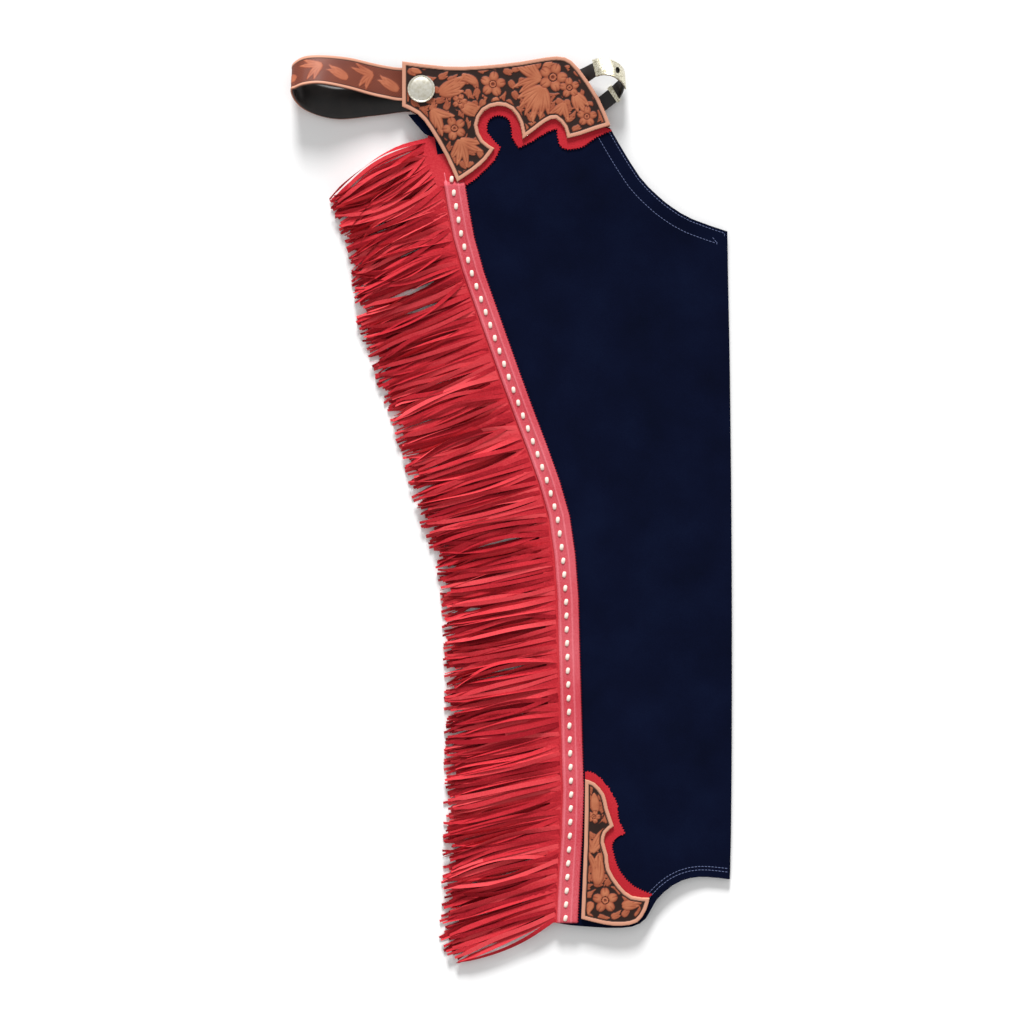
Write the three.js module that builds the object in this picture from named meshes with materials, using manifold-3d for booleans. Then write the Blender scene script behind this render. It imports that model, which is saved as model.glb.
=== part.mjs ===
// Folded western chaps: two suede legs, each folded at its front, lie on each other with their
// tooled yokes, conchos, heel plates and fringe, and the back belt and front strap join them.
// Millimetres, +Z up, the floor at z = 0, the waist towards +Y and the fringe towards -X.
import * as THREE from 'three';
import { mergeVertices } from 'three/addons/utils/BufferGeometryUtils.js';
import Module from 'manifold-3d';

const wasm = await Module();
wasm.setup();

// ---- Driving dimensions ----
const GAP = 0.3;
const SUEDE = 1.6;
const UNDERLAY = 1.4;
const FRINGE_HIDE = 1.5;
const TRIM_HIDE = 1.5;
const YOKE_HIDE = 3;
const BELT_WIDTH = 38;
const BELT_HIDE = 2.2;
const BELT_LINING = 1;
const STRAP_WIDTH = 17;
const STRAP_HIDE = 2.4;
const BUCKLE_PLATE = 2;
const BUCKLE_MARGIN = 3;
const KEEPER_PLATE = 1.2;
const CONCHO_RADIUS = 16;
const CONCHO_HEIGHT = 3.5;
const CONCHO_AT = { x: -104, y: 485 };
const HEM_Y = -473;

// Levels are measured from the middle of the stack, alike for the upper and the under leg.
const INNER_WALL = GAP / 2;
const OUTER_WALL = INNER_WALL + SUEDE + GAP;
const LEG_TOP = OUTER_WALL + SUEDE;
const FOLD_RADIUS = (LEG_TOP - INNER_WALL) / 2;
const OVERLAY = LEG_TOP + GAP;
const TRIM_LEVEL = OVERLAY + FRINGE_HIDE + GAP;
const TRIM_TOP = TRIM_LEVEL + TRIM_HIDE;
const YOKE_LEVEL = OVERLAY + UNDERLAY + GAP;
const YOKE_TOP = YOKE_LEVEL + YOKE_HIDE;
const FRINGE_PILE = 4.6;

// ---- Outline tables ----
// Side seam, the centre of the laced trim, and the fold at the front of the leg.
const SEAM = [
  { y: 530, x: -84 }, { y: 450, x: -80 }, { y: 380, x: -69 }, { y: 300, x: -54 }, { y: 215, x: -25 },
  { y: 131, x: 5 }, { y: 51, x: 35 }, { y: -5, x: 52 }, { y: -80, x: 61 }, { y: -143, x: 63 },
  { y: -285, x: 67 }, { y: -337, x: 68 }, { y: -430, x: 63 }, { y: -500, x: 60 },
];
const FOLD = [
  { y: 530, x: 246 }, { y: 316, x: 248 }, { y: 151, x: 251 }, { y: -102, x: 253 }, { y: -378, x: 252 },
  { y: -500, x: 248 },
];
// Where each stretch of fringe ends: its tip, how far that lies below its root, and its sag on the way.
const FRINGE_TIPS = [
  { y: 430, tip: -212, drop: 53, sag: 13 }, { y: 405, tip: -206, drop: 57, sag: 6 },
  { y: 350, tip: -187, drop: 50, sag: 0 }, { y: 275, tip: -179, drop: 49, sag: 0 },
  { y: 195, tip: -155, drop: 44, sag: 0 }, { y: 115, tip: -128, drop: 43, sag: 0 },
  { y: 35, tip: -107, drop: 40, sag: 0 }, { y: -50, tip: -83, drop: 25, sag: 0 },
  { y: -150, tip: -77, drop: 25, sag: 0 }, { y: -320, tip: -77, drop: 32, sag: 0 },
  { y: -420, tip: -80, drop: 35, sag: 0 }, { y: -450, tip: -83, drop: 43, sag: 0 },
  { y: HEM_Y, tip: -66, drop: 53, sag: 0 },
];
const YOKE_EDGE = [
  { x: -126, y: 517, corner: true }, { x: -76, y: 511 }, { x: -37, y: 512 }, { x: 10, y: 517 },
  { x: 39, y: 522 }, { x: 61, y: 522 }, { x: 77, y: 509 }, { x: 100, y: 475 },
  { x: 113, y: 444, corner: true }, { x: 96, y: 439 }, { x: 79, y: 433 },
  { x: 63, y: 429, corner: true }, { x: 60, y: 441 }, { x: 50, y: 451.5 }, { x: 39, y: 448 }, { x: 27, y: 439 },
  { x: 12, y: 428, corner: true }, { x: 9, y: 446 }, { x: -1, y: 462 }, { x: -16, y: 466.5 }, { x: -32, y: 460 },
  { x: -39.5, y: 444 }, { x: -33, y: 427 },
  { x: -20, y: 418, corner: true }, { x: -30, y: 404 }, { x: -45, y: 391 },
  { x: -63, y: 379, corner: true }, { x: -76, y: 408 }, { x: -94, y: 439 }, { x: -108, y: 456 },
  { x: -126, y: 465, corner: true },
];
const YOKE_UNDERLAY_EDGE = [
  { x: -72, y: 508, corner: true }, { x: -37, y: 509 }, { x: 10, y: 514 }, { x: 54, y: 518, corner: true },
  { x: 68, y: 502, corner: true }, { x: 85, y: 470, corner: true }, { x: 84, y: 450, corner: true },
  { x: 115, y: 439, corner: true }, { x: 96, y: 431 }, { x: 83, y: 421 },
  { x: 66, y: 417 }, { x: 55, y: 422 }, { x: 52, y: 441, corner: true }, { x: 40, y: 437 }, { x: 24, y: 427 },
  { x: 8, y: 419, corner: true }, { x: 1, y: 430 }, { x: -2, y: 450 }, { x: -15, y: 456.5 }, { x: -27, y: 451 },
  { x: -29, y: 436 }, { x: -14, y: 419, corner: true }, { x: -21, y: 404 }, { x: -36, y: 389 }, { x: -48, y: 379 },
  { x: -61, y: 372, corner: true }, { x: -66.5, y: 384, corner: true }, { x: -72, y: 408, corner: true },
  { x: -75, y: 440, corner: true },
];
const HEEL_PLATE_EDGE = [
  { x: 84, y: -307, corner: true }, { x: 95, y: -311 }, { x: 106, y: -324 }, { x: 110, y: -340 },
  { x: 117, y: -361, corner: true }, { x: 108, y: -369 }, { x: 106, y: -380 }, { x: 110, y: -394 }, { x: 112, y: -410 },
  { x: 124, y: -429 }, { x: 138, y: -441 }, { x: 158, y: -443, corner: true }, { x: 154, y: -457 },
  { x: 144, y: -471 }, { x: 126, y: -475 }, { x: 106, y: -473.5 }, { x: 79.5, y: -467, corner: true },
  { x: 83, y: -378 },
];
const HEEL_UNDERLAY_EDGE = [
  { x: 84, y: -298.5, corner: true }, { x: 97, y: -302 }, { x: 112, y: -319 }, { x: 121, y: -338 }, { x: 121, y: -350 },
  { x: 129, y: -369, corner: true }, { x: 115, y: -379 }, { x: 117, y: -396 }, { x: 124, y: -414 }, { x: 140, y: -431 },
  { x: 161, y: -440, corner: true }, { x: 148, y: -448, corner: true }, { x: 128, y: -468 },
  { x: 84, y: -464, corner: true },
];
// Leg panel from the hem at the fold to the seam, then under the yoke and down the crotch.
const HEM_EDGE = [
  { x: 270, y: -423, corner: true }, { x: 248, y: -422.5, corner: true }, { x: 225, y: -420 }, { x: 205, y: -421 },
  { x: 185, y: -429 }, { x: 166, y: -446 }, { x: 154, y: -467 }, { x: 138, y: -476.5 }, { x: 110, y: -478 },
  { x: 67, y: -475, corner: true },
];
const WAIST_EDGE = [
  { x: -80.5, y: 384, corner: true }, { x: -84.8, y: 405, corner: true }, { x: -89, y: 430.4, corner: true },
  { x: -101, y: 435.5 }, { x: -119, y: 456.5, corner: true },
  { x: -87, y: 457, corner: true }, { x: -87, y: 508, corner: true }, { x: -37, y: 509 }, { x: 10, y: 514 },
  { x: 54, y: 518, corner: true }, { x: 68, y: 502, corner: true }, { x: 85, y: 470, corner: true },
  { x: 84, y: 450, corner: true }, { x: 113, y: 441, corner: true }, { x: 125, y: 420 }, { x: 147, y: 385 },
  { x: 166, y: 365 }, { x: 183, y: 351 }, { x: 207, y: 337 }, { x: 247, y: 323, corner: true },
  { x: 270, y: 320, corner: true },
];
// Belt loop from the upper yoke to the under yoke: the heights of its two edges across the floor.
const BELT_PATH = [
  { x: -92, far: 510, near: 472, z: 16.05 }, { x: -127, far: 510, near: 472, z: 16.05 },
  { x: -145, far: 512, near: 474.3, z: 15.8 }, { x: -163, far: 515.5, near: 478, z: 17 },
  { x: -188, far: 520.5, near: 484, z: 21 }, { x: -217, far: 522.5, near: 488.5, z: 24 },
  { x: -236, far: 521.5, near: 487.5, z: 23 }, { x: -247, far: 517, near: 484, z: 18 },
  { x: -251.5, far: 512, near: 481.5, z: 12 }, { x: -248, far: 507, near: 472, z: 6.5 },
  { x: -238, far: 500.5, near: 463, z: 3.5 }, { x: -218, far: 493.2, near: 455.3, z: 2.3 },
  { x: -195, far: 490, near: 452.3, z: 2.1 }, { x: -163, far: 493.5, near: 455.7, z: 2.6 },
  { x: -145, far: 495.8, near: 457.8, z: 5.4 }, { x: -127, far: 498, near: 460, z: 8.85 },
  { x: -92, far: 500, near: 462, z: 8.85 },
];
// Front strap in the same order: the far edge and the near edge at each section.
const STRAP_PATH = [
  { farX: 72, farY: 506, nearX: 79, nearY: 490.5, z: 11.8 },
  { farX: 84, farY: 511.5, nearX: 89, nearY: 495.3, z: 11.2 },
  { farX: 96, farY: 516, nearX: 99, nearY: 501, z: 17 },
  { farX: 108, farY: 516, nearX: 110, nearY: 501, z: 21 },
  { farX: 118, farY: 512, nearX: 118, nearY: 497.5, z: 21 },
  { farX: 125, farY: 506, nearX: 125, nearY: 492, z: 16 },
  { farX: 126.5, farY: 500, nearX: 127.5, nearY: 486, z: 9.5 },
  { farX: 121, farY: 495, nearX: 126, nearY: 480.3, z: 5.2 },
  { farX: 113, farY: 488, nearX: 122, nearY: 473.9, z: 4.4 },
  { farX: 103, farY: 480, nearX: 113, nearY: 466.4, z: 4.8 },
  { farX: 94, farY: 473.5, nearX: 104.5, nearY: 460.2, z: 4.9 },
  { farX: 88, farY: 469, nearX: 98.5, nearY: 455.7, z: 4.9 },
];
const BUCKLE_SLOT = { x: 121, y: 506, across: 5, along: 8 };
// Parts of the strap's length that the buckle and the keeper cover.
const BUCKLE_SPAN = [0.17, 0.53];
const KEEPER_SPAN = [0.7, 0.75];

// ---- The shared lie of the stack ----
const ROWS = [530, 512, 492, 472, 452, 430, 405, 380, 350, 315, 275, 235, 195, 155, 115, 75, 35, -5, -50, -100,
  -150, -200, -250, -290, -320, -370, -420, -450, HEM_Y, -490];
const NEAR_COLUMNS = [-62, -44, -26, -12, 0, 16, 40, 62, 100];
const FAR_COLUMNS = [0.35, 0.7, 1];

const { clamp, lerp, smoothstep } = THREE.MathUtils;

function tableAt(table, column, y) {
  const i = clamp(table.findIndex((row) => row.y <= y) - 1, 0, table.length - 2);
  const rows = [table[Math.max(i - 1, 0)], table[i], table[i + 1], table[Math.min(i + 2, table.length - 1)]];
  const slope = (a, b) => (rows[b][column] - rows[a][column]) / (rows[b].y - rows[a].y);
  const span = rows[2].y - rows[1].y;
  const t = (y - rows[1].y) / span;
  const out = slope(0, 2) * span;
  const into = slope(1, 3) * span;
  const from = rows[1][column];
  const to = rows[2][column];
  return from + t * out + t * t * (3 * (to - from) - 2 * out - into) + t * t * t * (2 * (from - to) + out + into);
}

const seamX = (y) => tableAt(SEAM, 'x', y);
const foldX = (y) => tableAt(FOLD, 'x', y);

// Height of the middle of the stack, so that whatever lies lowest at a place rests on the floor.
function middle(x, y) {
  const seam = 1 - smoothstep(x - seamX(y), 16, 62);
  const yoke = smoothstep(y, 285, 368);
  const heel = (1 - smoothstep(y, -290, -200)) * (1 - smoothstep(x, 168, 230));
  const concho = 1 - smoothstep(Math.hypot(x - CONCHO_AT.x, y - CONCHO_AT.y), 38, 95);
  const stack = Math.max(seam * (TRIM_TOP - LEG_TOP), Math.max(yoke, heel) * (YOKE_TOP - LEG_TOP));
  return LEG_TOP + stack + concho * (CONCHO_HEIGHT + GAP);
}

function columnsAt(y) {
  const near = NEAR_COLUMNS.map((offset) => seamX(y) + offset);
  const start = near[near.length - 1];
  return [...near, ...FAR_COLUMNS.map((part) => lerp(start, foldX(y) - FOLD_RADIUS, part))];
}

// ---- Solids ----
function volumeOf(geometry) {
  const place = geometry.attributes.position;
  const index = geometry.index.array;
  const [a, b, c] = [new THREE.Vector3(), new THREE.Vector3(), new THREE.Vector3()];
  let sum = 0;
  for (let i = 0; i < index.length; i += 3) {
    a.fromBufferAttribute(place, index[i]);
    b.fromBufferAttribute(place, index[i + 1]);
    c.fromBufferAttribute(place, index[i + 2]);
    sum += a.dot(b.cross(c));
  }
  return sum / 6;
}

// A closed sheet: countU by countV points on its outer face and as many on its inner face.
function thickSheet(countU, countV, outer, inner) {
  const places = [];
  for (const face of [outer, inner]) {
    for (let u = 0; u < countU; u += 1) {
      for (let v = 0; v < countV; v += 1) places.push(...face(u, v).toArray());
    }
  }
  const id = (face, u, v) => (face * countU + u) * countV + v;
  const index = [];
  const quad = (a, b, c, d) => index.push(a, b, c, a, c, d);
  for (let u = 0; u + 1 < countU; u += 1) {
    for (let v = 0; v + 1 < countV; v += 1) {
      quad(id(0, u, v), id(0, u + 1, v), id(0, u + 1, v + 1), id(0, u, v + 1));
      index.push(id(1, u, v), id(1, u + 1, v + 1), id(1, u + 1, v));
      index.push(id(1, u, v), id(1, u, v + 1), id(1, u + 1, v + 1));
    }
    const last = countV - 1;
    quad(id(0, u, 0), id(1, u, 0), id(1, u + 1, 0), id(0, u + 1, 0));
    quad(id(0, u + 1, last), id(1, u + 1, last), id(1, u, last), id(0, u, last));
  }
  for (let v = 0; v + 1 < countV; v += 1) {
    const last = countU - 1;
    quad(id(0, 0, v + 1), id(1, 0, v + 1), id(1, 0, v), id(0, 0, v));
    quad(id(0, last, v), id(1, last, v), id(1, last, v + 1), id(0, last, v + 1));
  }
  const geometry = new THREE.BufferGeometry();
  geometry.setAttribute('position', new THREE.Float32BufferAttribute(places, 3));
  geometry.setIndex(index);
  if (volumeOf(geometry) < 0) geometry.setIndex(index.reverse());
  return geometry;
}

function toSolid(geometry) {
  const bare = new THREE.BufferGeometry();
  bare.setAttribute('position', geometry.attributes.position);
  bare.setIndex(geometry.index);
  const merged = mergeVertices(bare, 1e-4);
  const vertProperties = new Float32Array(merged.attributes.position.array);
  const triVerts = new Uint32Array(merged.index.array);
  return new wasm.Manifold(new wasm.Mesh({ numProp: 3, vertProperties, triVerts }));
}

function toGeometry(solid) {
  const mesh = solid.getMesh();
  const geometry = new THREE.BufferGeometry();
  geometry.setAttribute('position', new THREE.BufferAttribute(new Float32Array(mesh.vertProperties), 3));
  geometry.setIndex(new THREE.BufferAttribute(new Uint32Array(mesh.triVerts), 1));
  return geometry;
}

// Points of an outline: straight to a corner, a smooth curve through the rows between two corners.
function curvedPoints(rows, perRow = 2) {
  const points = [];
  let run = [];
  const finishRun = () => {
    const curve = new THREE.SplineCurve(run);
    points.push(...(run.length > 2 ? curve.getPoints((run.length - 1) * perRow) : run).slice(0, -1));
  };
  for (const row of rows) {
    run.push(new THREE.Vector2(row.x, row.y));
    if (row.corner && run.length > 1) {
      finishRun();
      run = [new THREE.Vector2(row.x, row.y)];
    }
  }
  if (run.length > 1) finishRun();
  else points.push(run[0]);
  return points;
}

function closedOutline(rows) {
  const points = curvedPoints([...rows, { ...rows[0], corner: true }]);
  return points.slice(0, -1);
}

function prism(points) {
  const geometry = new THREE.ExtrudeGeometry(new THREE.Shape(points), { depth: 200, bevelEnabled: false });
  geometry.translate(0, 0, -100);
  geometry.deleteAttribute('normal');
  geometry.deleteAttribute('uv');
  return toSolid(mergeVertices(geometry, 1e-4));
}

// The part of one layer of the stack that an outline encloses, less any prisms given.
function layerPiece(low, high, side, points, holes = []) {
  const at = (level) => (u, v) => {
    const x = columnsAt(ROWS[v])[u];
    return new THREE.Vector3(x, ROWS[v], middle(x, ROWS[v]) + side * level);
  };
  const columns = NEAR_COLUMNS.length + FAR_COLUMNS.length;
  let solid = toSolid(thickSheet(columns, ROWS.length, at(high), at(low))).intersect(prism(points));
  for (const hole of holes) solid = solid.subtract(hole);
  return toGeometry(solid);
}

function legPanel(side) {
  const arc = [0.25, 0.5, 0.75].map((part) => part * Math.PI);
  const columns = NEAR_COLUMNS.length + FAR_COLUMNS.length;
  const centre = (INNER_WALL + LEG_TOP) / 2;
  const at = (topLevel, radius, lowLevel) => (u, v) => {
    const y = ROWS[v];
    const across = columnsAt(y);
    const turn = u - columns;
    if (u < columns) return new THREE.Vector3(across[u], y, middle(across[u], y) + side * topLevel);
    if (turn >= arc.length) {
      const x = across[2 * columns + arc.length - 1 - u];
      return new THREE.Vector3(x, y, middle(x, y) + side * lowLevel);
    }
    const x = across[columns - 1];
    const level = centre + radius * Math.cos(arc[turn]);
    return new THREE.Vector3(x + radius * Math.sin(arc[turn]), y, middle(x, y) + side * level);
  };
  const outer = at(LEG_TOP, FOLD_RADIUS, INNER_WALL);
  const inner = at(OUTER_WALL, GAP / 2, INNER_WALL + SUEDE);
  const hairpin = thickSheet(2 * columns + arc.length, ROWS.length, outer, inner);
  const seam = ROWS.filter((y) => y < 380 && y > HEM_Y).reverse();
  const seamEdge = seam.map((y) => new THREE.Vector2(seamX(y) - 11.5, y));
  const edge = [...curvedPoints(HEM_EDGE), new THREE.Vector2(seamX(HEM_Y) - 11.5, HEM_Y + 1), ...seamEdge,
    ...curvedPoints(WAIST_EDGE)];
  return toGeometry(toSolid(hairpin).intersect(prism(edge)));
}

function fringe(side) {
  const rows = ROWS.filter((y) => y <= 430 && y >= HEM_Y);
  const reach = [1, 0.65, 0.3, 0, 0];
  const at = (outside) => (u, v) => {
    const y = rows[v];
    const root = new THREE.Vector2(seamX(y) - (u === 4 ? 0 : 12), y);
    if (u > 2) {
      const level = outside ? OVERLAY + FRINGE_HIDE : OVERLAY;
      return new THREE.Vector3(root.x, y, middle(root.x, y) + side * level);
    }
    const part = reach[u];
    const tip = new THREE.Vector2(tableAt(FRINGE_TIPS, 'tip', y), y - tableAt(FRINGE_TIPS, 'drop', y));
    const place = root.lerp(tip, part);
    place.y -= tableAt(FRINGE_TIPS, 'sag', y) * Math.sin(part * Math.PI);
    const pile = FRINGE_PILE - part;
    return new THREE.Vector3(place.x, place.y, pile + side * (outside ? pile : INNER_WALL));
  };
  return thickSheet(reach.length, rows.length, at(true), at(false));
}

function fringeTrim(side, yokeCut) {
  const rows = ROWS.filter((y) => y <= 405 && y >= HEM_Y);
  const right = rows.map((y) => new THREE.Vector2(seamX(y) + 14, y));
  const left = rows.map((y) => new THREE.Vector2(seamX(y) - 9.5, y));
  return layerPiece(TRIM_LEVEL, TRIM_TOP, side, [...right, ...left.reverse()], yokeCut);
}

// Two edge curves of a strap, and a sheet between them from one part of its length to another.
function strapEdges(rows, width) {
  const far = rows.map((row) => new THREE.Vector3(row.farX ?? row.x, row.farY ?? row.far, row.z));
  const near = rows.map((row, i) => {
    const edge = new THREE.Vector3(row.nearX ?? row.x, row.nearY ?? row.near, row.z);
    edge.z += Math.sqrt(Math.max(width ** 2 - edge.distanceToSquared(far[i]), 0));
    return edge;
  });
  return [far, near].map((points) => new THREE.CatmullRomCurve3(points, false, 'catmullrom'));
}

function strapSheet(edges, from, to, low, high, margin, sections) {
  const [far, near] = edges;
  const at = (level) => (u, v) => {
    const t = lerp(from, to, u / (sections - 1));
    const a = far.getPoint(t);
    const b = near.getPoint(t);
    const along = far.getTangent(t).add(near.getTangent(t));
    const across = b.clone().sub(a).normalize();
    const out = along.cross(across).normalize().multiplyScalar(level);
    a.addScaledVector(across, -margin);
    b.addScaledVector(across, margin);
    return (v === 0 ? a : b).add(out);
  };
  return thickSheet(sections, 2, at(high), at(low));
}

function concho(side) {
  const profile = [
    [0, 0], [CONCHO_RADIUS, 0], [CONCHO_RADIUS, 0.9], [CONCHO_RADIUS - 1.4, 1.6], [CONCHO_RADIUS - 2.6, 1.3],
    [11, 2.4], [7, 3.1], [3, 3.45], [0, CONCHO_HEIGHT],
  ].map(([radius, height]) => new THREE.Vector2(radius, height));
  const geometry = new THREE.LatheGeometry(profile, 28);
  geometry.rotateX(side * Math.PI / 2);
  return geometry;
}

// The buckle's plate lies on the outside of the strap, which faces away from its loop.
function buckle(edges) {
  const low = STRAP_HIDE / 2 + GAP;
  const plate = toSolid(strapSheet(edges, ...BUCKLE_SPAN, -low - BUCKLE_PLATE, -low, BUCKLE_MARGIN, 12));
  const slot = new THREE.EllipseCurve(BUCKLE_SLOT.x, BUCKLE_SLOT.y, BUCKLE_SLOT.across / 2, BUCKLE_SLOT.along / 2);
  return toGeometry(plate.subtract(prism(slot.getPoints(12).slice(0, -1))));
}

// A closed band round the strap.
function keeper(edges) {
  const [from, to] = KEEPER_SPAN;
  const inside = STRAP_HIDE / 2 + GAP;
  const outside = inside + KEEPER_PLATE;
  const block = toSolid(strapSheet(edges, from, to, -outside, outside, GAP + KEEPER_PLATE, 3));
  const passage = toSolid(strapSheet(edges, from - 0.02, to + 0.02, -inside, inside, GAP, 5));
  return toGeometry(block.subtract(passage));
}

// ---- The object ----
const NAVY = { color: 0x0f1428, roughness: 0.95, metalness: 0 };
const RED = { color: 0xa83038, roughness: 0.85, metalness: 0 };
const TAN = { color: 0xb97048, roughness: 0.5, metalness: 0 };
const BLACK = { color: 0x1a1210, roughness: 0.6, metalness: 0 };
const SILVER = { color: 0xcfcab4, roughness: 0.3, metalness: 1 };

const chaps = new THREE.Group();

function add(name, geometry, finish) {
  const mesh = new THREE.Mesh(geometry, new THREE.MeshStandardMaterial(finish));
  mesh.name = name;
  chaps.add(mesh);
  return mesh;
}

const yokeEdge = closedOutline(YOKE_EDGE);
const trimCut = [prism(yokeEdge), prism(closedOutline(YOKE_UNDERLAY_EDGE))];

for (const [leg, side] of [['upper', 1], ['under', -1]]) {
  add(`leg_panel_${leg}`, legPanel(side), NAVY);
  add(`yoke_underlay_${leg}`,
    layerPiece(OVERLAY, OVERLAY + UNDERLAY, side, closedOutline(YOKE_UNDERLAY_EDGE)), RED);
  add(`yoke_${leg}`, layerPiece(YOKE_LEVEL, YOKE_TOP, side, yokeEdge), TAN);
  add(`fringe_${leg}`, fringe(side), RED);
  add(`fringe_trim_${leg}`, fringeTrim(side, trimCut), RED);
  add(`heel_underlay_${leg}`,
    layerPiece(OVERLAY, OVERLAY + UNDERLAY, side, closedOutline(HEEL_UNDERLAY_EDGE)), RED);
  add(`heel_plate_${leg}`, layerPiece(YOKE_LEVEL, YOKE_TOP, side, closedOutline(HEEL_PLATE_EDGE)), TAN);
  const dome = add(`concho_${leg}`, concho(side), SILVER);
  const lift = middle(CONCHO_AT.x, CONCHO_AT.y) + side * (YOKE_TOP + GAP);
  dome.position.set(CONCHO_AT.x, CONCHO_AT.y, lift);
}

const beltEdges = strapEdges(BELT_PATH, BELT_WIDTH);
const beltHalf = (BELT_HIDE + GAP + BELT_LINING) / 2;
add('belt', strapSheet(beltEdges, 0, 1, beltHalf - BELT_HIDE, beltHalf, 0, 49), TAN);
add('belt_lining', strapSheet(beltEdges, 0, 1, -beltHalf, BELT_LINING - beltHalf, 0, 49), BLACK);

const strapEdgePair = strapEdges(STRAP_PATH, STRAP_WIDTH);
const strapHalf = STRAP_HIDE / 2;
add('front_strap', strapSheet(strapEdgePair, 0, 1, -strapHalf, strapHalf, 0, 34), BLACK);
add('buckle', buckle(strapEdgePair), SILVER);
add('strap_keeper', keeper(strapEdgePair), SILVER);

export default chaps;
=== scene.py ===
"""Looks for a folded pair of western fringed chaps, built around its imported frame.

Metres, +Z up, the floor at z = 0, the waist towards +Y and the fringe towards -X.
"""

import math

import bmesh
import bpy
import numpy as np
from bpy.props import FloatProperty, FloatVectorProperty, PointerProperty
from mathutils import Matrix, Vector
from mathutils.bvhtree import BVHTree


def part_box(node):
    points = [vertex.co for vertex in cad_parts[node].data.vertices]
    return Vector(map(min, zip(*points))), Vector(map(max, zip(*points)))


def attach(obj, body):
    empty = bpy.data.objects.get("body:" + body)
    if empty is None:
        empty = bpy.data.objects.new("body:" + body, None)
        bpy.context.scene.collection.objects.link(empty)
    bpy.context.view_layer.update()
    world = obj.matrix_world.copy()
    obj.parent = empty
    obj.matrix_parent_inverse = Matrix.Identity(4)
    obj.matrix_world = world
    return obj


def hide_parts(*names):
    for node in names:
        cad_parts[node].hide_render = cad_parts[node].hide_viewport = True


bl_info = {
    "name": "Western Fringed Chaps",
    "version": (1, 0, 0),
    "blender": (4, 5, 0),
    "location": "View3D > Sidebar > Chaps",
    "description": "Builds the suede legs, tooled leather, fringe and fittings of folded riding chaps",
    "category": "Add Mesh",
}

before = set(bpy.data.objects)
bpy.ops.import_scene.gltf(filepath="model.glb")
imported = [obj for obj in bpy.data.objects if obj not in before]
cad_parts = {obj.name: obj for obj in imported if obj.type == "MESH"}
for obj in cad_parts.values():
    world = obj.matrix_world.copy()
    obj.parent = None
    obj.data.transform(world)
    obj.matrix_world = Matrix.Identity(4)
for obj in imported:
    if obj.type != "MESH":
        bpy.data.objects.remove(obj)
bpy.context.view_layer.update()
MM = 0.001
SIDES = (("upper", 1), ("under", -1))
ROOT = "root"
WHITE = (1.0, 1.0, 1.0)

# Carved motifs of the yoke, in millimetres of the frame. A fan is a spray of leaves from one point.
YOKE_FLOWERS = (
    {"x": -22, "y": 491, "radius": 15, "turn": 10},
    {"x": -66, "y": 440, "radius": 14, "turn": 40},
    {"x": 47, "y": 499, "radius": 17, "turn": 0},
    {"x": 66, "y": 487, "radius": 12, "turn": 25},
    {"x": 86, "y": 454, "radius": 12, "turn": 15},
    {"x": -60, "y": 471, "radius": 9, "turn": 0},
)
YOKE_FANS = (
    {"x": -84, "y": 480, "angle": 22, "spread": 70, "count": 5, "length": 36, "width": 10, "bend": 0.25},
    {"x": -92, "y": 462, "angle": -52, "spread": 50, "count": 3, "length": 32, "width": 11, "bend": -0.3},
    {"x": -58, "y": 466, "angle": -20, "spread": 80, "count": 4, "length": 27, "width": 10, "bend": 0.35},
    {"x": -60, "y": 428, "angle": -62, "spread": 95, "count": 5, "length": 33, "width": 10, "bend": -0.25},
    {"x": -40, "y": 492, "angle": 150, "spread": 50, "count": 3, "length": 24, "width": 8, "bend": 0.3},
    {"x": 36, "y": 488, "angle": -118, "spread": 110, "count": 7, "length": 42, "width": 10, "bend": 0.2},
    {"x": 34, "y": 497, "angle": 165, "spread": 70, "count": 5, "length": 37, "width": 9, "bend": -0.3},
    {"x": 36, "y": 508, "angle": 40, "spread": 60, "count": 3, "length": 18, "width": 7, "bend": 0.2},
    {"x": 72, "y": 480, "angle": -60, "spread": 90, "count": 4, "length": 26, "width": 9, "bend": 0.3},
    {"x": 60, "y": 470, "angle": -110, "spread": 60, "count": 3, "length": 26, "width": 9, "bend": -0.2},
    {"x": -116, "y": 508, "angle": -20, "spread": 40, "count": 2, "length": 15, "width": 7, "bend": 0.2},
    {"x": -20, "y": 476, "angle": -70, "spread": 60, "count": 2, "length": 14, "width": 7, "bend": 0.2},
)
HEEL_FLOWERS = (
    {"x": 107, "y": -446, "radius": 15, "turn": 20},
    {"x": 94, "y": -350, "radius": 8, "turn": 0},
)
HEEL_FANS = (
    {"x": 98, "y": -428, "angle": 88, "spread": 60, "count": 3, "length": 40, "width": 10, "bend": 0.35},
    {"x": 92, "y": -392, "angle": 80, "spread": 50, "count": 3, "length": 32, "width": 9, "bend": -0.3},
    {"x": 96, "y": -345, "angle": 95, "spread": 40, "count": 2, "length": 26, "width": 10, "bend": 0.2},
    {"x": 126, "y": -452, "angle": 5, "spread": 60, "count": 3, "length": 24, "width": 9, "bend": 0.3},
    {"x": 92, "y": -448, "angle": -120, "spread": 60, "count": 3, "length": 15, "width": 7, "bend": 0.2},
    {"x": 102, "y": -372, "angle": -80, "spread": 40, "count": 2, "length": 24, "width": 8, "bend": 0.3},
)
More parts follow.
